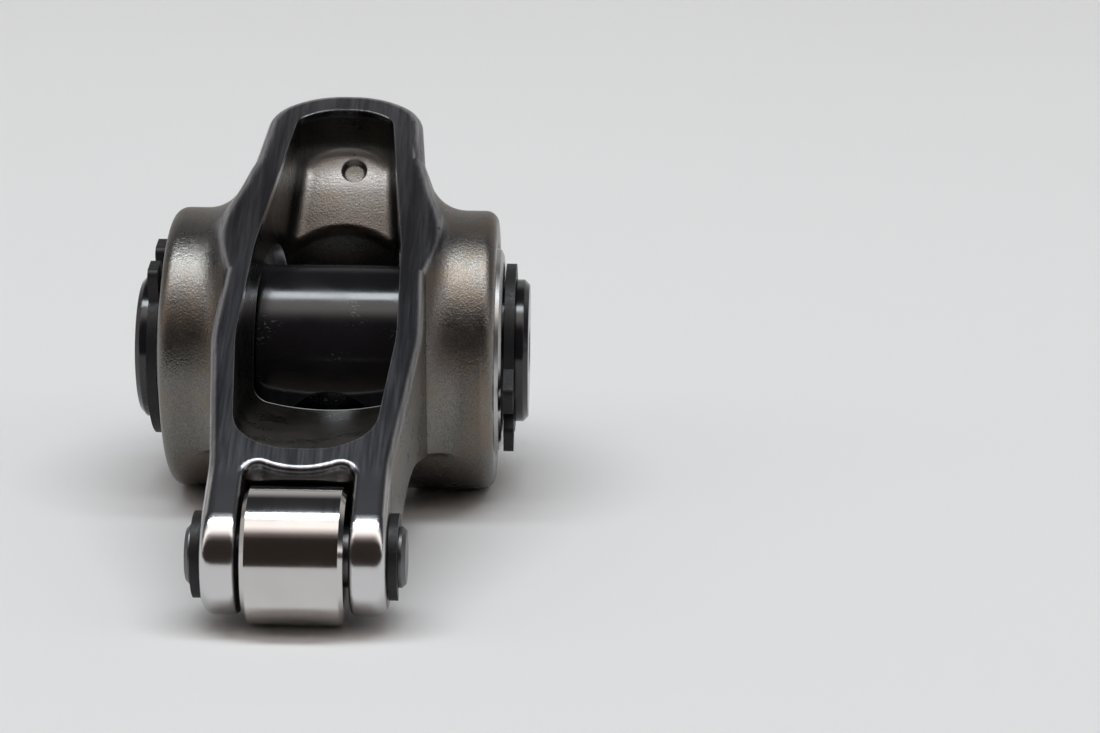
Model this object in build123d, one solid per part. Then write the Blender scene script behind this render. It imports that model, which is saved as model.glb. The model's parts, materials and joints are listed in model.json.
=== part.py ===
from build123d import *
import os
from math import asin, atan2, cos, degrees, hypot, radians, sin, sqrt, tan

os.makedirs("parts", exist_ok=True)

# Stud-mount roller rocker arm with a needle-roller trunnion, in millimetres.
# X runs along the trunnion, -Y points at the tip roller, +Y at the pushrod nose and +Z up.
# The origin is the middle of the trunnion. The arm lies as it rests on a bench:
# on its two round bosses and its tip roller, with the nose in the air.

# ---- driving dimensions -------------------------------------------------------

# Trunnion: a shaft stepped up in the middle, where the stud passes through.
trunnion_end_diameter = 14.288
trunnion_length = 38.8
trunnion_shoulder = 1.756
trunnion_centre_length = 14.3
trunnion_end_chamfer = 0.5
centre_drill_diameter = 2.3
centre_drill_depth = 2.6
stud_hole_diameter = 9.7
lock_flat_height = 5.7
rest_turn = 47.5

# Needle bearings: drawn cup, cage and needles, one pressed into each boss.
bearing_length = 8.6
needle_count = 14
needle_diameter = 1.984
needle_length = 5.2
needle_running_gap = 0.03
needle_end_gap = 0.15
cup_outside_diameter = 20.64
cup_lip_thickness = 0.8
cup_lip_gap = 0.35
cup_corner = 0.85
cage_thickness = 1.1
cage_end_gap = 0.15
pocket_gap = 0.06

# Snap rings that hold the trunnion in the two bearings.
snap_ring_thickness = 1.0
snap_ring_wall = 1.35
snap_ring_back_wall = 2.1
snap_ring_groove_depth = 0.42
snap_ring_groove_gap = 0.1
snap_ring_end_play = 0.25
snap_ring_slot = 2.2
snap_ring_lug_width = 3.4
snap_ring_lug_height = 3.3
snap_ring_lug_radius = 0.8
snap_ring_eye_diameter = 1.5
left_ring_turn = 100.0
right_ring_turn = 212.0

# Cast body: two bosses and a channel-shaped arm.
boss_diameter = 28.0
body_width = 32.4
boss_edge_radius = 1.3
bearing_proud = 0.6
bore_chamfer = 0.7
cavity_width = 16.0
blend_radius = 3.9
blend_width = 13.0
blend_slope = 70.0
blend_run_radius = 60.0
blend_run_slope = 61.0
underside_root_radius = 2.0

# Rim of the arm: the polished edge that all of the channel ends in.
rim_height = 16.3
rim_slope = 21.3
rim_crown_radius = 476.0
rim_stock = 6.0
rim_edge_radius = 1.2
nose_end = 17.85
nose_depth = 9.9
nose_underside_slope = 37.0
nose_side_half_width = 7.8
nose_side_setback = 3.35
nose_side_radius = 5.2
nose_end_half_width = 3.6
nose_end_radius = 8.6
arm_middle = 2.0
arm_middle_half_width = 9.3
arm_front_from_axle = 20.15
arm_front_half_width = 9.95
ear_back_from_axle = 4.15
arm_side_radius = 22.0

# Inside of the channel.
pocket_end = 14.5
pocket_side_half_width = 4.9
pocket_side_setback = 1.85
pocket_side_radius = 2.0
pocket_end_half_width = 2.4
pocket_end_radius = 5.8
pocket_middle = 9.0
pocket_middle_half_width = 7.1
pocket_front_from_axle = 19.15
pocket_front_half_width = 7.5
pocket_web_setback = 2.5
pocket_web_half_width = 6.4
pocket_web_end_half_width = 3.0
pocket_front_radius = 5.0
pocket_floor_radius = 1.5
nose_floor_slope = 50.0
nose_floor_end = 16.5
nose_floor_height = 17.0
lock_clearance_radius = 10.5
lock_clearance_back = 10.75
arch_edge_radius = 0.9
web_width = 2.0
scoop_slope = 8.5
scoop_radius = 24.0
scoop_floor_radius = 1.8

# Underside of the arm and the stud slot through the back of the barrel.
arch_radius = 8.9
arch_from_axle = 17.65
arch_top = 5.1
arch_front_angle = 148.0
arm_root_angle = 31.0
stud_slot_front = 9.5
stud_slot_roof = 2.5
stud_slot_corner_radius = 2.0
stud_notch_radius = 5.9
stud_notch_roof = 5.3

# Tip roller and its axle.
roller_diameter = 12.2
roller_length = 8.9
roller_edge = 0.4
roller_reach = 41.15
roller_drop = 7.9
roller_running_gap = 0.05
roller_side_gap = 0.4
roller_face_gap = 0.6
web_from_axle = 2.65
web_bulge_radius = 7.65
web_corner_radius = 1.2
ear_thickness = 3.3
fork_edge_radius = 0.6
axle_diameter = 5.4
axle_overhang = 1.5
axle_chamfer = 0.35
clip_thickness = 0.8
clip_wall = 1.15
clip_groove_depth = 0.35
clip_opening = 2.6
clip_corner_radius = 0.35
clip_side_gap = 0.05

# Hardened pushrod seat pressed into the nose.
seat_reach = 16.9
seat_height = 10.4
seat_diameter = 8.2
seat_recess = 0.9
seat_wall = 0.9
seat_back_drop = 0.9
seat_back_width = 2.6
seat_ball_radius = 3.97
seat_ball_depth = 1.9
oil_well_diameter = 2.7
oil_well_floor_diameter = 2.0
oil_well_depth = 0.7
oil_well_reach = 14.95
oil_well_offset = 0.65

# ---- sizes worked out from the driving dimensions -------------------------------

shaft_radius = trunnion_end_diameter / 2
centre_radius = shaft_radius + trunnion_shoulder
needle_radius = needle_diameter / 2
race_radius = shaft_radius + needle_diameter + 2 * needle_running_gap
pitch_radius = (shaft_radius + race_radius) / 2
bore_radius = cup_outside_diameter / 2
boss_radius = boss_diameter / 2
body_half_width = body_width / 2
cup_face = body_half_width + bearing_proud
cup_back = cup_face - bearing_length
ring_face = cup_face + snap_ring_end_play
roller_radius = roller_diameter / 2
axle_y = -roller_reach
axle_z = -roller_drop
slot_half_width = roller_length / 2 + roller_side_gap
ear_half_width = slot_half_width + ear_thickness
web_front = axle_y + web_from_axle
web_back = web_front + web_width
ear_back = axle_y + ear_back_from_axle
arm_front = axle_y + arm_front_from_axle
pocket_front = axle_y + pocket_front_from_axle
past = 2 * roller_reach
touching = 0.02
crown_y = rim_crown_radius * sin(radians(rim_slope))
crown_z = rim_height - rim_crown_radius * cos(radians(rim_slope))
ear_radius = rim_crown_radius - hypot(axle_y - crown_y, axle_z - crown_z)
rim_normal = Vector(0, -sin(radians(rim_slope)), cos(radians(rim_slope)))


def rim_z(y):
    """Height of the rim at a distance y along the arm."""
    return crown_z + sqrt(rim_crown_radius**2 - (y - crown_y) ** 2)


def on_circle(y, z, radius, angle):
    """Point of a circle in the side plane, the angle counted from +Y towards +Z."""
    return (y + radius * cos(radians(angle)), z + radius * sin(radians(angle)))


def tangent_point(point, centre, radius, side):
    """Where a line from the point touches the circle, on the given side of it."""
    dy, dz = centre[0] - point[0], centre[1] - point[1]
    away = hypot(dy, dz)
    turn = atan2(dz, dy) + side * asin(radius / away)
    reach = sqrt(away**2 - radius**2)
    return (point[0] + reach * cos(turn), point[1] + reach * sin(turn))


def lean(angle):
    """Direction in a turned profile that leans from the radius towards the axis of turning."""
    return Vector(sin(radians(angle)), cos(radians(angle)))


def across(face, half_width):
    """A face of the side plane made solid across the arm, half_width to each side."""
    return extrude(face, half_width, dir=(1, 0, 0), both=True)


def side_solid(points, half_width):
    """A closed (y, z) outline made solid across the arm."""
    return across(Plane.YZ * make_face(Polyline(*points, close=True)), half_width)


def bar(radius, y, z, half_width):
    """A cylinder across the arm."""
    return Pos(0, y, z) * Rot(0, 90, 0) * Cylinder(radius, 2 * half_width)


def ring_on_x(*profile):
    """A profile of (x, radius) points turned round the trunnion's axis."""
    return revolve(make_face(Polyline(*profile, close=True)), Axis.X, 360)


# ---- rocker body -------------------------------------------------------------------


def along_rim(y):
    """Distance in the rim plane, from above the trunnion, of the rim at y."""
    return y * cos(radians(rim_slope)) + (rim_z(y) - rim_height) * sin(radians(rim_slope))


def rim_prism(half_outline, radii):
    """Prism square to the rim, from the right half of its outline as (half width, y) points."""
    right = [(x, along_rim(y)) for x, y in half_outline]
    left = [(-x, v) for x, v in reversed(right)]
    outline = FilletPolyline(*right, *left, radius=list(radii) + list(reversed(radii)), close=True)
    rim_plane = Plane(origin=(0, 0, rim_height), x_dir=(1, 0, 0), z_dir=rim_normal)
    return extrude(rim_plane * make_face(outline), past, both=True)


def arm_side():
    """Side outline of the arm before its rim is ground, as a solid across the body."""
    root = on_circle(0, 0, boss_radius, 180 + arm_root_angle)
    arch_centre = (axle_y + arch_from_axle, -arch_top - arch_radius)
    arch_back = tangent_point(root, arch_centre, arch_radius, -1)
    ear_centre = (axle_y, axle_z)
    arch_front = on_circle(*arch_centre, arch_radius, arch_front_angle)
    arch_middle = on_circle(*arch_centre, arch_radius, (90 + arch_front_angle) / 2)
    ear_under = tangent_point(arch_front, ear_centre, ear_radius, 1)
    crown_angle = degrees(atan2(axle_z - crown_z, axle_y - crown_y))
    ear_over = on_circle(crown_y, crown_z, rim_crown_radius, crown_angle)
    nose_past = nose_end + nose_depth
    nose_top = Vector(0, nose_past, rim_z(nose_past)) + rim_stock * rim_normal
    nose_under = Vector(0, nose_end, rim_z(nose_end)) - rim_normal * nose_depth
    fall = tan(radians(nose_underside_slope))
    inside = (root[0] / 2, root[1] / 2)
    outline = Polyline(inside, root, arch_back)
    outline += ThreePointArc(arch_back, arch_middle, arch_front)
    outline += Polyline(
        arch_front,
        ear_under,
        ear_centre,
        ear_over,
        (arm_front, rim_z(arm_front) + rim_stock),
        (nose_top.Y, nose_top.Z),
        (nose_under.Y + nose_depth, nose_under.Z + nose_depth * fall),
        (nose_under.Y - boss_radius, nose_under.Z - boss_radius * fall),
        inside,
    )
    side = make_face(outline) + Circle(boss_radius) + Pos(*ear_centre) * Circle(ear_radius)
    roots = side.vertices().filter_by(lambda v: abs(hypot(v.X, v.Y) - boss_radius) < touching)
    return across(Plane.YZ * fillet(roots, underside_root_radius), body_half_width)


def arm_plan():
    """Plan outline of the arm, square to the rim."""
    return rim_prism(
        [
            (ear_half_width, -past),
            (ear_half_width, ear_back),
            (arm_front_half_width, arm_front),
            (arm_middle_half_width, -arm_middle),
            (nose_side_half_width, nose_end - nose_side_setback),
            (nose_end_half_width, nose_end),
        ],
        [0, arm_side_radius, arm_side_radius, arm_side_radius, nose_side_radius, nose_end_radius],
    )


def root_blend():
    """Hollow casting radius between the bosses and the sides of the arm, turned about X."""
    hollow = Vector(blend_width, boss_radius + blend_radius)
    foot = Vector(blend_width, boss_radius)
    end = hollow - blend_radius * lean(blend_slope)
    swell = end - blend_run_radius * lean(blend_slope)
    tip = swell + blend_run_radius * lean(blend_run_slope)
    edge = Polyline((0, 0), (blend_width, 0), foot)
    edge += ThreePointArc(foot, hollow - blend_radius * lean(blend_slope / 2), end)
    run = swell + blend_run_radius * lean((blend_slope + blend_run_slope) / 2)
    edge += ThreePointArc(end, run, tip)
    edge += Polyline(tip, (0, tip.Y), (0, 0))
    right = revolve(make_face(edge), Axis.X, 360)
    return right + mirror(right, Plane.YZ)


def above_rim():
    """Everything over the crowned rim."""
    crown_angle = degrees(atan2(axle_z - crown_z, axle_y - crown_y))
    front = on_circle(crown_y, crown_z, rim_crown_radius, crown_angle)
    front_up = on_circle(crown_y, crown_z, rim_crown_radius + roller_reach, crown_angle)
    back = (roller_reach, rim_z(roller_reach))
    edge = ThreePointArc(front, (0, rim_z(0)), back)
    edge += Polyline(back, (roller_reach, past), (front_up[0], past), front_up, front)
    return across(Plane.YZ * make_face(edge), body_half_width)


def barrel():
    """The two bosses, one cylinder with rounded ends before it is bored."""
    blank = bar(boss_radius, 0, 0, body_half_width)
    return fillet(blank.edges().filter_by(GeomType.CIRCLE), boss_edge_radius)


def on_rim(edge):
    """Whether an edge lies in the crowned surface of the rim."""
    return all(abs((edge @ t).Z - rim_z((edge @ t).Y)) < touching for t in (0, 0.5, 1))


def casting():
    """Outer form of the rocker body, rounded along the outside of its rim and round its ears."""
    side = arm_side()
    form = barrel() + (side & arm_plan()) + (root_blend() & side) - above_rim()
    rim = form.edges().filter_by(on_rim)
    outside = rim.filter_by(lambda edge: edge.bounding_box().size.X < ear_half_width)
    return fillet(outside, rim_edge_radius)


def pocket_plan():
    """Plan outline of the channel inside the arm, square to the rim."""
    return rim_prism(
        [
            (pocket_end_half_width, pocket_end),
            (pocket_side_half_width, pocket_end - pocket_side_setback),
            (pocket_middle_half_width, -pocket_middle),
            (pocket_front_half_width, pocket_front),
            (pocket_web_half_width, web_back + pocket_web_setback),
            (pocket_web_end_half_width, web_back),
        ],
        [
            pocket_end_radius,
            pocket_side_radius,
            arm_side_radius,
            arm_side_radius,
            pocket_front_radius,
            pocket_front_radius,
        ],
    )


def nose_pocket():
    """Hollow of the nose: a sloping flat floor that runs down into the barrel's bore."""
    fall = tan(radians(nose_floor_slope))
    low_y = bore_radius / 2
    low = (low_y, nose_floor_height - (nose_floor_end - low_y) * fall)
    high = (past, nose_floor_height + (past - nose_floor_end) * fall)
    above = side_solid([(0, 0), (0, high[1]), high, low, (low_y, 0)], body_half_width)
    hollow = above & pocket_plan()
    floor = hollow.faces().sort_by(lambda f: f.normal_at().dot(Vector(0, fall, -1)))[-1]
    sides = floor.edges().filter_by(lambda e: e.center().Y > low_y + touching)
    return fillet(sides, pocket_floor_radius)


def scoop():
    """Hollow of the arm ahead of the barrel: a shallow trough falling to the trunnion."""
    turn = radians(scoop_slope)
    down = Vector(0, cos(turn), -sin(turn))
    up = Vector(0, sin(turn), cos(turn))
    front = Vector(0, web_back, rim_z(web_back)) + scoop_radius * up
    section = Plane(origin=front, x_dir=(1, 0, 0), z_dir=down) * Circle(scoop_radius)
    trough = extrude(section, past, both=True)
    reach = Pos(0, -past / 2, 0) * Box(boss_diameter, past, past)
    hollow = trough & reach & pocket_plan()
    round_faces = hollow.faces().filter_by(GeomType.CYLINDER)
    floor = round_faces.filter_by(lambda face: abs(face.radius - scoop_radius) < touching)
    sides = floor.edges().filter_by(lambda e: e.center().Y < -touching)
    return fillet(sides, scoop_floor_radius)


def lock_clearance():
    """Round clearance over the trunnion for the stud and its lock nut."""
    middle = lock_clearance_back - lock_clearance_radius
    return Pos(0, middle, past / 2) * Cylinder(lock_clearance_radius, past) & pocket_plan()


def arch_edge(body):
    """Edge where the floor of the nose ends at the round clearance over the trunnion."""
    middle = lock_clearance_back - lock_clearance_radius
    across_nose = body.edges().filter_by(lambda edge: edge.bounding_box().size.X > nose_end_half_width)
    return across_nose.filter_by(
        lambda edge: all(
            abs(hypot((edge @ t).X, (edge @ t).Y - middle) - lock_clearance_radius) < touching
            and (edge @ t).Z > touching
            for t in (0, 0.5, 1)
        )
    )


def stud_slot():
    """Keyhole slot through the barrel's back and underside for the stud as the arm rocks."""
    half_width = cavity_width / 2
    front = half_width - stud_slot_front
    height = stud_slot_roof + boss_diameter
    start = Plane(origin=(0, front, stud_slot_roof - height / 2), x_dir=(1, 0, 0), z_dir=(0, 1, 0))
    face = start * RectangleRounded(cavity_width, height, stud_slot_corner_radius)
    slot = extrude(face, boss_diameter)
    slot += Pos(0, front, -boss_radius) * Cylinder(half_width, boss_diameter)
    notch_z = stud_notch_roof - stud_notch_radius
    notch = Plane(origin=(0, 0, notch_z), z_dir=(0, 1, 0)) * Circle(stud_notch_radius)
    return slot + extrude(notch, boss_diameter)


def roller_slot():
    """Fork for the tip roller, its back wall bulging to the front, and room behind the roller."""
    swing = roller_radius + roller_face_gap
    width = 2 * slot_half_width
    middle = web_front + web_bulge_radius
    plan = Pos(0, middle - roller_reach / 2) * Rectangle(width, roller_reach)
    plan -= Pos(0, middle) * Circle(web_bulge_radius)
    corners = plan.vertices().sort_by(Axis.Y)[-2:]
    fork = extrude(fillet(corners, web_corner_radius), past, both=True)
    room = bar(swing, axle_y, axle_z, slot_half_width)
    room += Pos(0, axle_y + swing / 2, axle_z - swing) * Box(width, swing, 2 * swing)
    return fork + room


def bearing_bore():
    """Bore for the drawn cups, right through both bosses, with chamfered mouths."""
    start = body_half_width - bore_chamfer
    out = body_half_width + bore_chamfer
    mouth = bore_radius + 2 * bore_chamfer
    right = ring_on_x((0, 0), (0, bore_radius), (start, bore_radius), (out, mouth), (out, 0))
    return right + mirror(right, Plane.YZ)


def seat_blank(below):
    """Blank of the pushrod seat with a coned back, drawn out downwards past the seat's face."""
    foot = Vector(0, seat_reach, seat_height) + seat_recess * rim_normal
    radius = seat_diameter / 2
    top = seat_ball_depth + seat_wall
    edge = Polyline(
        (0, top),
        (0, -below),
        (radius, -below),
        (radius, top - seat_back_drop),
        (radius - seat_back_width, top),
        close=True,
    )
    side = Plane(origin=foot, x_dir=(1, 0, 0), z_dir=(0, -rim_normal.Z, rim_normal.Y))
    return revolve(side * make_face(edge), Axis(foot, rim_normal), 360)


def oil_well():
    """Shallow tapered well drilled square to the floor of the nose."""
    slope = radians(nose_floor_slope)
    height = nose_floor_height - (nose_floor_end - oil_well_reach) * tan(slope)
    top = Plane(
        origin=(oil_well_offset, oil_well_reach, height),
        x_dir=(1, 0, 0),
        z_dir=(0, -sin(slope), cos(slope)),
    )
    taper = (oil_well_diameter - oil_well_floor_diameter) / 2 / oil_well_depth
    low = oil_well_floor_diameter / 2
    return top * Cone(low, low + 2 * taper * oil_well_depth, 2 * oil_well_depth)


def rocker_body():
    """Cast body with everything machined into it."""
    body = casting() - nose_pocket() - scoop() - lock_clearance()
    body = fillet(arch_edge(body), arch_edge_radius)
    body -= bearing_bore()
    body -= stud_slot()
    body -= roller_slot()
    web_middle = (web_front + web_back) / 2
    fork = body.edges().filter_by(on_rim).filter_by(lambda edge: edge.center().Y < web_middle)
    inside = fork.filter_by(lambda edge: abs(edge.center().X) < slot_half_width + touching)
    body = fillet(inside, fork_edge_radius)
    body -= bar(axle_diameter / 2, axle_y, axle_z, body_half_width)
    body -= seat_blank(nose_depth)
    body -= oil_well()
    return body


# ---- parts fixed to the body -----------------------------------------------------------


def pushrod_seat():
    """Hardened plug with a ball socket that opens downwards."""
    foot = Vector(0, seat_reach, seat_height) + seat_recess * rim_normal
    middle = foot + (seat_ball_depth - seat_ball_radius) * rim_normal
    return seat_blank(0) - Pos(middle) * Sphere(seat_ball_radius)


def drawn_cup():
    """Right-hand drawn cup of a needle bearing, with a lip turned in at each end."""
    lip = shaft_radius + cup_lip_gap
    inner = cup_face - cup_lip_thickness
    eased = cup_corner * (1 - sin(radians(45)))
    return ring_on_x(
        (cup_back, lip),
        (cup_back + cup_lip_thickness, lip),
        (cup_back + cup_lip_thickness, race_radius),
        (inner, race_radius),
        (inner, lip),
        (cup_face, lip),
        (cup_face, bore_radius - cup_corner),
        (cup_face - eased, bore_radius - eased),
        (cup_face - cup_corner, bore_radius),
        (cup_back + cup_corner, bore_radius),
        (cup_back, bore_radius - cup_corner),
    )


def roller_axle():
    """Pin pressed through the two ears, grooved for its clips."""
    half = ear_half_width + axle_overhang
    pin = bar(axle_diameter / 2, axle_y, axle_z, half)
    pin = chamfer(pin.edges().filter_by(GeomType.CIRCLE), axle_chamfer)
    groove = bar(axle_diameter, 0, 0, clip_thickness / 2 + clip_side_gap)
    groove -= bar(axle_diameter / 2 - clip_groove_depth, 0, 0, clip_thickness)
    groove_x = ear_half_width + clip_side_gap + clip_thickness / 2
    for side in (-1, 1):
        pin -= Pos(side * groove_x, axle_y, axle_z) * groove
    return pin


def axle_clip():
    """Right-hand open clip in the axle's groove, its gap facing down."""
    inside = axle_diameter / 2 - clip_groove_depth
    face = Circle(axle_diameter / 2 + clip_wall) - Circle(inside)
    face -= Pos(0, -axle_diameter) * Rectangle(clip_opening, 2 * axle_diameter)
    face = fillet(face.vertices(), clip_corner_radius)
    side = Plane(
        origin=(ear_half_width + clip_side_gap, axle_y, axle_z), x_dir=(0, 1, 0), z_dir=(1, 0, 0)
    )
    return extrude(side * face, clip_thickness)


# ---- trunnion and its rings ---------------------------------------------------------------


def trunnion():
    """Stepped shaft with the stud hole and the flat its lock nut sits on."""
    half = trunnion_length / 2
    step = trunnion_centre_length / 2
    floor = shaft_radius - snap_ring_groove_depth
    groove_start = ring_face - snap_ring_groove_gap / 2
    groove_end = ring_face + snap_ring_thickness + snap_ring_groove_gap / 2
    drill = centre_drill_diameter / 2
    right = ring_on_x(
        (0, 0),
        (0, centre_radius),
        (step, centre_radius),
        (step, shaft_radius),
        (groove_start, shaft_radius),
        (groove_start, floor),
        (groove_end, floor),
        (groove_end, shaft_radius),
        (half - trunnion_end_chamfer, shaft_radius),
        (half, shaft_radius - trunnion_end_chamfer),
        (half, 2 * drill),
        (half - drill, drill),
        (half - centre_drill_depth, drill),
        (half - centre_drill_depth, 0),
    )
    shaft = right + mirror(right, Plane.YZ)
    turn = Rot(rest_turn, 0, 0)
    hole = turn * Rot(90, 0, 0) * Cylinder(stud_hole_diameter / 2, 3 * centre_radius)
    nut_room = turn * Pos(0, lock_flat_height + centre_radius, 0) * Box(
        trunnion_centre_length, 2 * centre_radius, 3 * centre_radius
    )
    return shaft - nut_room - hole


def snap_ring(turn):
    """Ring for the right-hand groove, its gap turned round the trunnion by the given angle."""
    inside = shaft_radius - snap_ring_groove_depth
    thin, thick = inside + snap_ring_wall, inside + snap_ring_back_wall
    ring = Pos(0, (thin - thick) / 2) * Circle((thin + thick) / 2)
    lug_x = (snap_ring_slot + snap_ring_lug_width) / 2
    lug_length = 2 * snap_ring_lug_height
    for side in (-1, 1):
        lug = RectangleRounded(snap_ring_lug_width, lug_length, snap_ring_lug_radius)
        ring += Pos(side * lug_x, inside) * lug
        eye = Circle(snap_ring_eye_diameter / 2)
        ring -= Pos(side * lug_x, inside + snap_ring_lug_height / 2) * eye
    ring -= Circle(inside)
    ring -= Pos(0, inside) * Rectangle(snap_ring_slot, 3 * snap_ring_lug_height)
    plane = Plane(origin=(ring_face, 0, 0), x_dir=(0, 1, 0), z_dir=(1, 0, 0))
    return Rot(turn - 90, 0, 0) * extrude(plane * ring, snap_ring_thickness)


# ---- needle sets --------------------------------------------------------------------------


def needle_cage():
    """Right-hand cage: a sleeve with one pocket for each needle."""
    length = bearing_length - 2 * cup_lip_thickness - 2 * cage_end_gap
    middle = (cup_face + cup_back) / 2
    inner = pitch_radius - cage_thickness / 2
    outer = pitch_radius + cage_thickness / 2
    cage = bar(outer, 0, 0, length / 2) - bar(inner, 0, 0, length)
    pocket = Pos(0, 0, pitch_radius) * Box(
        needle_length + 2 * needle_end_gap, needle_diameter + 2 * pocket_gap, 2 * cage_thickness
    )
    for n in range(needle_count):
        cage -= Rot(n * 360 / needle_count, 0, 0) * pocket
    return Pos(middle, 0, 0) * cage


def needle(n):
    """Right-hand needle number n, counted round the trunnion from the top."""
    roller = bar(needle_radius, 0, pitch_radius, needle_length / 2)
    middle = (cup_face + cup_back) / 2
    return Rot(n * 360 / needle_count, 0, 0) * Pos(middle, 0, 0) * roller


def tip_roller():
    """Roller that presses on the valve stem."""
    roller = bar(roller_radius, axle_y, axle_z, roller_length / 2)
    roller = chamfer(roller.edges().filter_by(GeomType.CIRCLE), roller_edge)
    return roller - bar(axle_diameter / 2 + roller_running_gap, axle_y, axle_z, roller_length)


# ---- one file for each piece ----------------------------------------------------------------


def to_left(shape):
    """The same piece on the left-hand side."""
    return mirror(shape, Plane.YZ)


pieces = {
    "rocker_body": rocker_body(),
    "pushrod_seat": pushrod_seat(),
    "roller_axle": roller_axle(),
    "tip_roller": tip_roller(),
    "trunnion": trunnion(),
    "drawn_cup_right": drawn_cup(),
    "drawn_cup_left": to_left(drawn_cup()),
    "needle_cage_right": needle_cage(),
    "needle_cage_left": to_left(needle_cage()),
    "axle_clip_right": axle_clip(),
    "axle_clip_left": to_left(axle_clip()),
    "snap_ring_right": snap_ring(right_ring_turn),
    "snap_ring_left": to_left(snap_ring(left_ring_turn)),
}
for n in range(needle_count):
    pieces[f"needle_right_{n + 1:02d}"] = needle(n)
    pieces[f"needle_left_{n + 1:02d}"] = to_left(needle(n))

for name, shape in pieces.items():
    export_step(shape, f"parts/{name}.step")
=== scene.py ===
import json
import math

import bpy
from mathutils import Matrix, Vector


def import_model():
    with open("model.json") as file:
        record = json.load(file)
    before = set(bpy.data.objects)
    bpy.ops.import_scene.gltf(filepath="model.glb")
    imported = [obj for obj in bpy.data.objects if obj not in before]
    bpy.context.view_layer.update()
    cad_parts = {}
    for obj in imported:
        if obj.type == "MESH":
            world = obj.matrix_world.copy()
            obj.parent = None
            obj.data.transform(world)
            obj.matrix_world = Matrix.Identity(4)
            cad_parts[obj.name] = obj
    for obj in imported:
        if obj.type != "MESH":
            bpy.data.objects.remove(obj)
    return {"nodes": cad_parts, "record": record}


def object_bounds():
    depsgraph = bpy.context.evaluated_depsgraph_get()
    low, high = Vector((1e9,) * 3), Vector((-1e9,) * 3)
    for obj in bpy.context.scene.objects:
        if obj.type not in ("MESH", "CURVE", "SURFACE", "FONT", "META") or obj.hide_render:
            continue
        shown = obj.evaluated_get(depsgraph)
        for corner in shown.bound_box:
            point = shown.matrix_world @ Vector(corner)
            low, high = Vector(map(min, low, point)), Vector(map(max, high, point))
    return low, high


# Looks for the roller rocker arm: cast stainless body with a ground rim, black trunnion and
# rings, polished tip roller. Everything is in metres, in the frame of the CAD model.

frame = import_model()
cad_low, cad_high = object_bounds()
nodes = frame["nodes"]
MM = 0.001

# ---- sizes that the looks follow ----------------------------------------------------------------
# x runs along the trunnion, whose axis is the origin. The rim, the axle and the slope of the
# nose's floor are where the part's source has them.

RIM_HEIGHT = 16.3 * MM
RIM_SLOPE = math.radians(21.3)
RIM_CROWN = 476.0 * MM  # radius of the slightly crowned rim
RIM_CENTRE_Y = RIM_CROWN * math.sin(RIM_SLOPE)
RIM_CENTRE_Z = RIM_HEIGHT - RIM_CROWN * math.cos(RIM_SLOPE)
AXLE = Vector((0.0, -41.15 * MM, -7.9 * MM))
NOSE_FLOOR_SLOPE = math.radians(50.0)
NOSE_FLOOR_AT_AXIS = 17.0 * MM - 16.5 * MM * math.tan(NOSE_FLOOR_SLOPE)

# Limits of masks, just outside the edge that they follow.

FORK_HALF = 4.9 * MM  # the slot's half width is 4.85
BORE = 10.34 * MM  # the bearing bore's radius is 10.32
CHANNEL_HALF = 7.6 * MM  # the widest half of the channel is 7.5

# Limits of masks that were chosen.

CHANNEL_END = 16.2 * MM  # along the rim
NOSE_FLOOR_START = 9.3 * MM
NOSE_FLOOR_HALF = 6.8 * MM
FLOOR_DARK_Z, FLOOR_BRIGHT_Z, FLOOR_TOP_Z = 11.0 * MM, 15.2 * MM, 16.8 * MM
LIP_START_Y = -6.5 * MM
EAR_REACH = 6.2 * MM  # from the axle
FORK_REACH = 8.6 * MM
FORK_EDGE_REACH = 9.8 * MM
EDGE_EASE = 0.25 * MM  # how far the shading rounds sharp edges

# ---- colours ----------------------------------------------------------------------------

CAST_DARK = (0.110, 0.101, 0.090, 1)
CAST_LIGHT = (0.242, 0.230, 0.214, 1)
CAST_SPECK = (0.62, 0.60, 0.56, 1)
CAST_STAIN = (0.215, 0.165, 0.120, 1)
# Painted shade in the fork between the ears and on the rim edge behind it.
FORK_PAINTED_SHADE = (0.090, 0.085, 0.080, 1)
# Painted shade on the lower part of the nose's floor and painted light on its top.
NOSE_FLOOR_PAINTED_SHADE = (0.075, 0.062, 0.054, 1)
NOSE_FLOOR_PAINTED_LIGHT = (0.52, 0.50, 0.475, 1)
# Painted shade on the channel's side walls.
WALL_PAINTED_SHADE = (0.085, 0.080, 0.076, 1)
# Painted highlight along the bore's front lip.
LIP_PAINTED_HIGHLIGHT = (0.80, 0.79, 0.78, 1)
RIM_DARK = (0.235, 0.235, 0.250, 1)
RIM_LIGHT = (0.410, 0.410, 0.430, 1)
EAR_STEEL = (0.64, 0.635, 0.64, 1)
OXIDE_DARK = (0.007, 0.007, 0.009, 1)
OXIDE_LIGHT = (0.014, 0.013, 0.015, 1)
OXIDE_SCUFF = (0.16, 0.16, 0.17, 1)
PHOSPHATE_DARK = (0.006, 0.006, 0.006, 1)
PHOSPHATE_LIGHT = (0.016, 0.015, 0.015, 1)


# ---- node helpers ---------------------------------------------------------------------------

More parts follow.
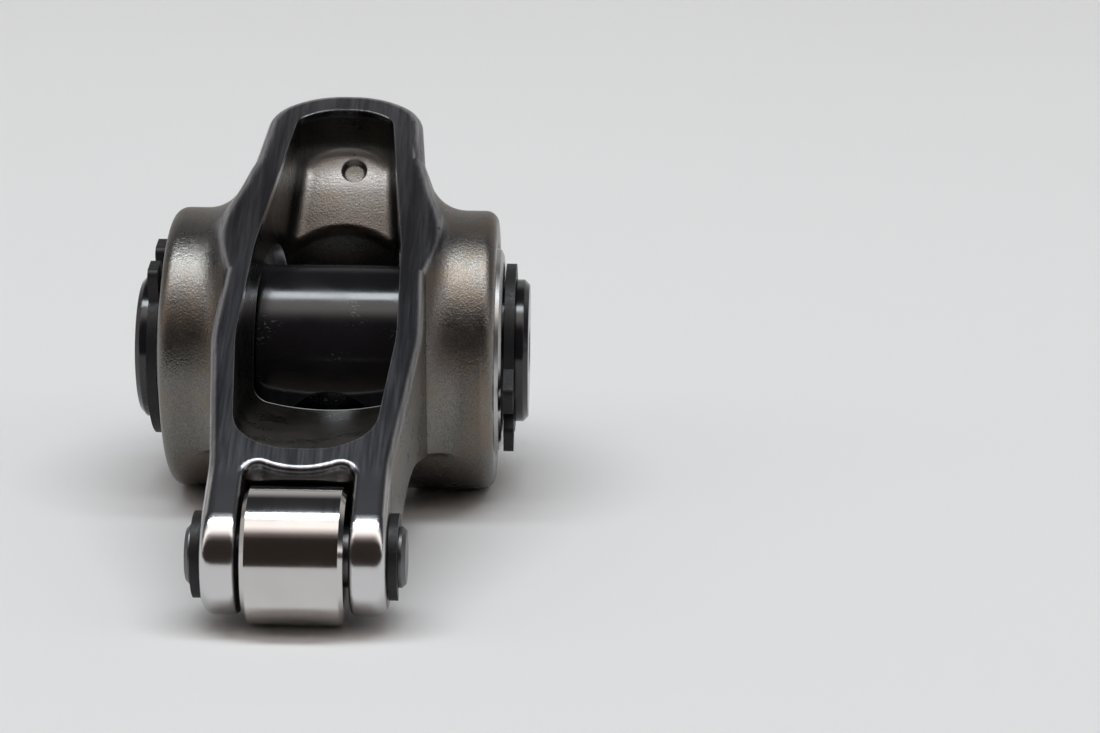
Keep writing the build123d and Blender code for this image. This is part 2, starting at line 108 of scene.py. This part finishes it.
class Graph:
    """Short names for building one node tree."""

    def __init__(self, tree):
        self.tree = tree

    def new(self, kind, inputs=None, **settings):
        node = self.tree.nodes.new(kind)
        for key, value in settings.items():
            setattr(node, key, value)
        for key, value in (inputs or {}).items():
            if isinstance(value, bpy.types.NodeSocket):
                self.tree.links.new(value, node.inputs[key])
            else:
                node.inputs[key].default_value = value
        return node

    def math(self, operation, a, b=0.0, clamp=False):
        node = self.new("ShaderNodeMath", {0: a, 1: b}, operation=operation)
        node.use_clamp = clamp
        return node.outputs[0]

    def ramp(self, value, low, high, to_low=0.0, to_high=1.0, smooth=True):
        node = self.new(
            "ShaderNodeMapRange",
            {"Value": value, "From Min": low, "From Max": high,
             "To Min": to_low, "To Max": to_high},
            interpolation_type="SMOOTHSTEP" if smooth else "LINEAR",
        )
        return node.outputs["Result"]

    def distance(self, a, b):
        return self.math("SQRT", self.plus(self.times(a, a), self.times(b, b)))

    def times(self, *values):
        """Product of two or more values: where all of the masks hold."""
        result = values[0]
        for value in values[1:]:
            result = self.math("MULTIPLY", result, value)
        return result

    def plus(self, a, b):
        return self.math("ADD", a, b)

    def minus(self, a, b):
        return self.math("SUBTRACT", a, b)

    def either(self, a, b):
        return self.math("MAXIMUM", a, b)

    def outside_of(self, mask):
        return self.minus(1.0, mask)

    def mix(self, factor, a, b):
        """Colour a where the factor is 0 and b where it is 1."""
        return self.new("ShaderNodeMix", {0: factor, 6: a, 7: b}, data_type="RGBA").outputs[2]

    def blend(self, factor, a, b):
        """Number a where the factor is 0 and b where it is 1."""
        return self.new("ShaderNodeMix", {0: factor, 2: a, 3: b}, data_type="FLOAT").outputs[0]

    def noise(self, position, scale, detail, rough):
        node = self.new(
            "ShaderNodeTexNoise",
            {"Vector": position, "Scale": scale, "Detail": detail, "Roughness": rough},
        )
        return node.outputs["Fac"]

    def stretched(self, position, across, along):
        """Position for a noise that is drawn out into rings or streaks round the x axis."""
        scale = (across, along, along)
        return self.new("ShaderNodeMapping", {"Vector": position, "Scale": scale}).outputs[0]

    def parts(self, vector):
        return self.new("ShaderNodeSeparateXYZ", {"Vector": vector}).outputs

    def eased(self):
        """Normal with sharp edges rounded."""
        return self.new("ShaderNodeBevel", {"Radius": EDGE_EASE}, samples=4).outputs[0]


def material(name):
    """A new node material: its graph, its shader and the object position socket."""
    made = bpy.data.materials.new(name)
    made.use_nodes = True
    graph = Graph(made.node_tree)
    shader = made.node_tree.nodes["Principled BSDF"]
    where = graph.new("ShaderNodeTexCoord").outputs["Object"]
    return made, graph, shader, where


def link(graph, value, shader, socket):
    graph.tree.links.new(value, shader.inputs[socket])


def bump(graph, height, shader, strength, distance, normal=None):
    inputs = {"Height": height, "Strength": strength, "Distance": distance}
    if normal is not None:
        inputs["Normal"] = normal
    link(graph, graph.new("ShaderNodeBump", inputs).outputs[0], shader, "Normal")


# ---- materials --------------------------------------------------------------------------------

def channel_places(g, where, at):
    """Channel masks: painted light and shade on the nose's floor, painted shade on the side walls,
    a painted highlight on the bore's front lip.
    """
    x, y, z = g.parts(where)
    facing_x = g.parts(g.new("ShaderNodeNewGeometry").outputs["True Normal"])["X"]
    inward = g.times(g.math("SIGN", x), facing_x, -1.0)
    along = g.plus(g.times(y, math.cos(RIM_SLOPE)),
                   g.times(g.minus(z, RIM_HEIGHT), math.sin(RIM_SLOPE)))
    floor_z = g.plus(g.times(y, math.tan(NOSE_FLOOR_SLOPE)), NOSE_FLOOR_AT_AXIS)
    within = g.times(g.ramp(along, CHANNEL_END + 1.0 * MM, CHANNEL_END),
                     g.ramp(g.minus(z, floor_z), -1.2 * MM, -0.8 * MM))
    on_floor = g.times(g.ramp(y, NOSE_FLOOR_START, NOSE_FLOOR_START + 0.8 * MM),
                       g.ramp(at["aside"], NOSE_FLOOR_HALF, NOSE_FLOOR_HALF - 0.5 * MM), within)
    # Painted light on the top of the nose's floor and painted shade on its lower part.
    at["floor_top"] = g.times(on_floor, g.ramp(z, FLOOR_BRIGHT_Z - 2.4 * MM, FLOOR_BRIGHT_Z),
                              g.ramp(z, FLOOR_TOP_Z + 1.4 * MM, FLOOR_TOP_Z))
    at["floor_low"] = g.times(on_floor, g.ramp(z, FLOOR_DARK_Z + 3.8 * MM, FLOOR_DARK_Z,
                                               smooth=False))
    # Painted shade on the inward-facing side walls of the channel.
    at["wall"] = g.times(g.ramp(at["aside"], CHANNEL_HALF + 0.2 * MM, CHANNEL_HALF),
                         g.ramp(inward, 0.30, 0.75), within)
    # Painted highlight: a bright line along the bore's front lip.
    at["lip"] = g.times(g.ramp(g.distance(y, z), BORE + 0.46 * MM, BORE + 0.24 * MM),
                        g.ramp(y, LIP_START_Y + 1.5 * MM, LIP_START_Y),
                        g.ramp(at["aside"], CHANNEL_HALF, CHANNEL_HALF - 1.2 * MM))


def cast_places(g, where):
    """Masks from 0 to 1 for the places of the casting that look different."""
    x, y, z = g.parts(where)
    facing = g.new("ShaderNodeNewGeometry").outputs["True Normal"]
    sideways = g.math("ABSOLUTE", g.parts(facing)["X"])
    from_crown = g.distance(g.minus(y, RIM_CENTRE_Y), g.minus(z, RIM_CENTRE_Z))
    from_axle = g.distance(g.minus(y, AXLE.y), g.minus(z, AXLE.z))
    at = {"aside": g.math("ABSOLUTE", x)}
    beside_fork = g.ramp(at["aside"], FORK_HALF, FORK_HALF + 0.3 * MM)
    between_ears = g.outside_of(beside_fork)

    at["rim"] = g.ramp(from_crown, RIM_CROWN - 1.0 * MM, RIM_CROWN - 0.5 * MM)
    at["ear"] = g.times(g.ramp(from_axle, EAR_REACH + 2.2 * MM, EAR_REACH), beside_fork,
                        g.ramp(sideways, 0.97, 0.85))
    # Painted shade: the cast inside of the fork between the ears, round the roller, is darkened.
    at["fork"] = g.times(g.ramp(from_axle, FORK_REACH + 0.4 * MM, FORK_REACH), between_ears)
    at["fork_edge"] = g.times(g.ramp(from_axle, FORK_EDGE_REACH + 1.0 * MM, FORK_EDGE_REACH),
                              between_ears,
                              g.ramp(from_crown, RIM_CROWN - 0.04 * MM, RIM_CROWN - 0.30 * MM))
    bore = g.ramp(g.distance(y, z), BORE + 0.06 * MM, BORE)
    at["ground"] = g.either(g.either(at["rim"], at["ear"]), bore)
    channel_places(g, where, at)
    return at


def cast_colour(g, where, at, cloud):
    """Blasted skin: uneven, sandy and slightly stained; painted shade darkens it in the fork and
    the channel, with painted light on the nose floor's top and the bore's lip.
    """
    patches = g.noise(where, 75.0, 3.0, 0.55)
    sand = g.ramp(g.noise(where, 6500.0, 2.0, 0.6), 0.34, 0.66)
    speck = g.ramp(g.noise(where, 9000.0, 1.0, 0.5), 0.62, 0.75)
    uneven = g.plus(g.times(patches, 0.5), g.times(sand, 0.5))
    colour = g.mix(g.times(speck, 0.18), g.mix(uneven, CAST_DARK, CAST_LIGHT), CAST_SPECK)
    colour = g.mix(g.times(g.ramp(cloud, 0.48, 0.64), 0.50), colour, CAST_STAIN)
    for mask, tone in (
        (at["fork"], FORK_PAINTED_SHADE),
        (g.times(at["floor_top"], 0.9), NOSE_FLOOR_PAINTED_LIGHT),
        (g.times(at["floor_low"], 0.95), NOSE_FLOOR_PAINTED_SHADE),
        (g.times(at["wall"], 0.85), WALL_PAINTED_SHADE),
        (at["lip"], LIP_PAINTED_HIGHLIGHT),
    ):
        colour = g.mix(mask, colour, tone)
    return colour


def cast_body():
    """Bead-blasted casting, polished on the rim, the ears and the bearing bore."""
    made, g, shader, where = material("cast_body")
    at = cast_places(g, where)
    cloud = g.noise(where, 240.0, 4.0, 0.6)
    lines = g.noise(g.stretched(where, 3600.0, 160.0), 1.0, 3.0, 0.55)
    wear = g.noise(g.stretched(where, 700.0, 55.0), 1.0, 2.0, 0.4)

    rim_tone = g.mix(g.ramp(g.plus(wear, lines), 0.75, 1.30), RIM_DARK, RIM_LIGHT)
    polished = g.mix(at["ear"], rim_tone, EAR_STEEL)
    # Painted shade: the rim's bright edge at the back of the fork is dimmed.
    polished = g.mix(g.times(at["fork_edge"], 0.7), polished, FORK_PAINTED_SHADE)
    colour = g.mix(at["ground"], cast_colour(g, where, at, cloud), polished)
    link(g, colour, shader, "Base Color")
    # Less metallic under the painted highlight on the lip and the painted light on the nose floor's
    # top, so these colours show as lit.
    less_metal_for_painted_light = g.either(g.times(at["lip"], 0.85), g.times(at["floor_top"], 0.5))
    link(g, g.minus(1.0, less_metal_for_painted_light), shader, "Metallic")

    cast_rough = g.ramp(cloud, 0.3, 0.7, 0.25, 0.36)
    rim_rough = g.ramp(g.plus(lines, wear), 0.4, 1.6, 0.19, 0.235)
    rough = g.blend(at["ground"], cast_rough, g.blend(at["ear"], rim_rough, 0.15))
    rough = g.blend(g.times(at["fork"], g.outside_of(at["rim"])), rough, 0.42)
    link(g, g.blend(at["lip"], rough, 0.50), shader, "Roughness")

    grains = g.noise(where, 4800.0, 3.0, 0.65)
    pits = g.ramp(g.noise(where, 3600.0, 2.0, 0.6), 0.34, 0.50)
    skin = g.plus(g.plus(grains, g.times(pits, 0.10)), g.times(cloud, 0.8))
    height = g.blend(at["ground"], skin, g.times(lines, 0.04))
    bump(g, height, shader, 0.7, 0.055 * MM, g.eased())
    return made


def turned(name, dark, light, smooth, rough, grain, strength):
    """Ground or turned metal, with fine marks drawn out round the x axis."""
    made, g, shader, where = material(name)
    rings = g.noise(g.stretched(where, 9000.0, 220.0), 1.0, 3.0, 0.6)
    smudge = g.noise(where, 210.0, 4.0, 0.55)
    fine = g.noise(where, grain, 2.0, 0.6)
    link(g, g.mix(smudge, (*dark, 1), (*light, 1)), shader, "Base Color")
    shader.inputs["Metallic"].default_value = 1.0
    uneven = g.plus(g.times(rings, 0.5), g.times(smudge, 0.5))
    link(g, g.ramp(uneven, 0.3, 0.7, smooth, rough), shader, "Roughness")
    bump(g, g.plus(g.times(rings, 0.5), g.times(fine, 0.6)), shader, strength, 0.02 * MM)
    return made


def trunnion_black():
    """Glossy black oxide over a ground shaft, with small scuffs."""
    made, g, shader, where = material("trunnion_black")
    rings = g.noise(g.stretched(where, 2600.0, 120.0), 1.0, 3.0, 0.6)
    smudge = g.noise(where, 240.0, 4.0, 0.6)
    place = g.ramp(g.noise(where, 190.0, 2.0, 0.5), 0.56, 0.68)
    marks = g.ramp(g.noise(g.stretched(where, 2600.0, 5200.0), 1.0, 1.0, 0.4), 0.60, 0.68)
    scuff = g.times(marks, place, 0.45)
    link(g, g.mix(scuff, g.mix(smudge, OXIDE_DARK, OXIDE_LIGHT), OXIDE_SCUFF), shader, "Base Color")
    shader.inputs["Metallic"].default_value = 0.0
    shader.inputs["Specular IOR Level"].default_value = 0.62
    smooth = g.ramp(smudge, 0.35, 0.65, 0.12, 0.18)
    link(g, g.plus(smooth, g.times(scuff, 0.3)), shader, "Roughness")
    bump(g, g.plus(g.times(rings, 0.3), smudge), shader, 0.10, 0.02 * MM, g.eased())
    return made


def ring_black():
    """Phosphated spring steel."""
    made, g, shader, where = material("ring_black")
    fine = g.noise(where, 3800.0, 3.0, 0.6)
    smudge = g.noise(where, 500.0, 3.0, 0.6)
    link(g, g.mix(smudge, PHOSPHATE_DARK, PHOSPHATE_LIGHT), shader, "Base Color")
    shader.inputs["Metallic"].default_value = 0.25
    link(g, g.ramp(fine, 0.3, 0.7, 0.40, 0.58), shader, "Roughness")
    bump(g, fine, shader, 0.5, 0.03 * MM)
    return made


# Name: darker and lighter tone, smoothest and roughest place, grain, strength of the relief.
TURNED = {
    "seat_steel": ((0.30, 0.30, 0.31), (0.42, 0.42, 0.43), 0.22, 0.32, 2500.0, 0.2),
    "cup_steel": ((0.42, 0.415, 0.41), (0.56, 0.55, 0.54), 0.28, 0.38, 2200.0, 0.3),
    "cage_steel": ((0.36, 0.36, 0.36), (0.48, 0.48, 0.48), 0.30, 0.42, 2200.0, 0.3),
    "needle_steel": ((0.58, 0.58, 0.60), (0.68, 0.68, 0.70), 0.10, 0.18, 2500.0, 0.1),
    "roller_steel": ((0.56, 0.545, 0.53), (0.66, 0.645, 0.63), 0.09, 0.15, 2600.0, 0.10),
    "axle_steel": ((0.13, 0.13, 0.135), (0.20, 0.20, 0.205), 0.34, 0.46, 2400.0, 0.35),
}
MATERIALS = {name: turned(name, *look) for name, look in TURNED.items()}
MATERIALS["cast_body"] = cast_body()
MATERIALS["trunnion_black"] = trunnion_black()
MATERIALS["ring_black"] = ring_black()
slot_of = {part["node"]: part["material_slot"] for part in frame["record"]["subparts"]}
for name, node in nodes.items():
    made = MATERIALS[slot_of[name]]
    if not node.material_slots:
        node.data.materials.append(made)
    for slot in node.material_slots:
        slot.material = made


# ---- floor, world and lamp ----------------------------------------------------------------------

PAPER_HALF = 3.0
PAPER_FRONT, PAPER_BACK = -1.6, 0.9
PAPER_BEND = 0.9
PAPER_STEPS = 24
PAPER_DARK = (0.757, 0.750, 0.740, 1)
PAPER_LIGHT = (0.777, 0.770, 0.760, 1)


def floor_and_backdrop():
    """Pale seamless paper: flat under the arm, curving up behind it."""
    curve = [(PAPER_FRONT, cad_low.z), (PAPER_BACK, cad_low.z)]
    for i in range(1, PAPER_STEPS + 1):
        turn = math.pi / 2 * i / PAPER_STEPS
        curve.append((PAPER_BACK + PAPER_BEND * math.sin(turn),
                      cad_low.z + PAPER_BEND * (1 - math.cos(turn))))
    vertices = [(side * PAPER_HALF, y, z) for y, z in curve for side in (-1, 1)]
    faces = [(2 * i, 2 * i + 1, 2 * i + 3, 2 * i + 2) for i in range(len(curve) - 1)]
    mesh = bpy.data.meshes.new("paper")
    mesh.from_pydata(vertices, [], faces)
    mesh.update()
    for polygon in mesh.polygons:
        polygon.use_smooth = True
    paper = bpy.data.objects.new("paper", mesh)
    bpy.context.scene.collection.objects.link(paper)
    made, g, shader, where = material("paper")
    tone = g.noise(where, 9.0, 3.0, 0.5)
    link(g, g.mix(tone, PAPER_DARK, PAPER_LIGHT), shader, "Base Color")
    shader.inputs["Roughness"].default_value = 0.85
    shader.inputs["Specular IOR Level"].default_value = 0.15
    paper.data.materials.append(made)


# Light of the room by direction, from the horizon in front (0) over the zenith (0.5) to the
# horizon behind (1).
ROOM = (
    (0.00, (0.034, 0.026, 0.022)),
    (0.26, (0.030, 0.023, 0.020)),
    (0.30, (0.200, 0.165, 0.155)),
    (0.335, (0.95, 0.86, 0.82)),
    (0.37, (1.75, 1.62, 1.55)),
    (0.42, (1.65, 1.55, 1.50)),
    (0.46, (0.80, 0.78, 0.80)),
    (0.53, (0.034, 0.034, 0.041)),
    (0.72, (0.032, 0.031, 0.034)),
    (0.80, (0.500, 0.490, 0.480)),
    (1.00, (0.700, 0.700, 0.700)),
)


def world():
    """Room round the table: dark in front, a warm ceiling, dark again and pale behind."""
    sky = bpy.data.worlds.new("room")
    bpy.context.scene.world = sky
    sky.use_nodes = True
    g = Graph(sky.node_tree)
    back = sky.node_tree.nodes["Background"]
    way = g.new("ShaderNodeTexCoord").outputs["Generated"]
    _, y, z = g.parts(way)
    turn = g.math("ARCTAN2", z, g.times(y, -1.0))
    ramp = g.new("ShaderNodeValToRGB", {"Fac": g.math("DIVIDE", turn, math.pi, clamp=True)})
    elements = ramp.color_ramp.elements
    while len(elements) < len(ROOM):
        elements.new(1.0)
    for element, (place, colour) in zip(elements, ROOM):
        element.position = place
        element.color = (*colour, 1)
    g.tree.links.new(ramp.outputs["Color"], back.inputs["Color"])
    back.inputs["Strength"].default_value = 1.0


def overhead_lamp():
    """Long cool lamp over the arm: the bright lines on the rim, the trunnion and the roller."""
    lamp = bpy.data.lights.new("overhead", "AREA")
    lamp.shape = "RECTANGLE"
    lamp.size, lamp.size_y = 1.8, 0.25
    lamp.energy = 14.8
    lamp.color = (0.88, 0.95, 1.0)
    holder = bpy.data.objects.new("overhead", lamp)
    bpy.context.scene.collection.objects.link(holder)
    holder.location = (0.0, -0.10, 1.40)
    holder.rotation_mode = "QUATERNION"
    holder.rotation_quaternion = (-holder.location).to_track_quat("-Z", "Y")


floor_and_backdrop()
world()
overhead_lamp()


# ---- camera -----------------------------------------------------------------------------------

CAMERA_PLACE = Vector((25.10, -280.05, 75.23)) * MM
CAMERA_LOOK = Vector((-0.01236, 0.96425, -0.26471))
CAMERA_YAW = math.radians(0.735)
CAMERA_ROLL = math.radians(0.617)
CAMERA_LENS = 94.16


def camera():
    """Camera at the photograph's viewing angle, level with the horizon but for a small roll."""
    yaw, roll = CAMERA_YAW, CAMERA_ROLL
    look = CAMERA_LOOK.normalized()
    right = Vector((math.cos(yaw), math.sin(yaw), 0.0))
    down = look.cross(right)
    across = math.cos(roll) * right - math.sin(roll) * down
    upward = -(math.sin(roll) * right + math.cos(roll) * down)
    data = bpy.data.cameras.new("camera")
    data.sensor_width = 36.0
    data.lens = CAMERA_LENS
    data.clip_start, data.clip_end = 0.01, 20.0
    made = bpy.data.objects.new("camera", data)
    bpy.context.scene.collection.objects.link(made)
    turned_to = Matrix((across, upward, -look)).transposed().to_4x4()
    made.matrix_world = Matrix.Translation(CAMERA_PLACE) @ turned_to
    bpy.context.scene.camera = made


camera()
bpy.context.scene.view_settings.view_transform = "Standard"
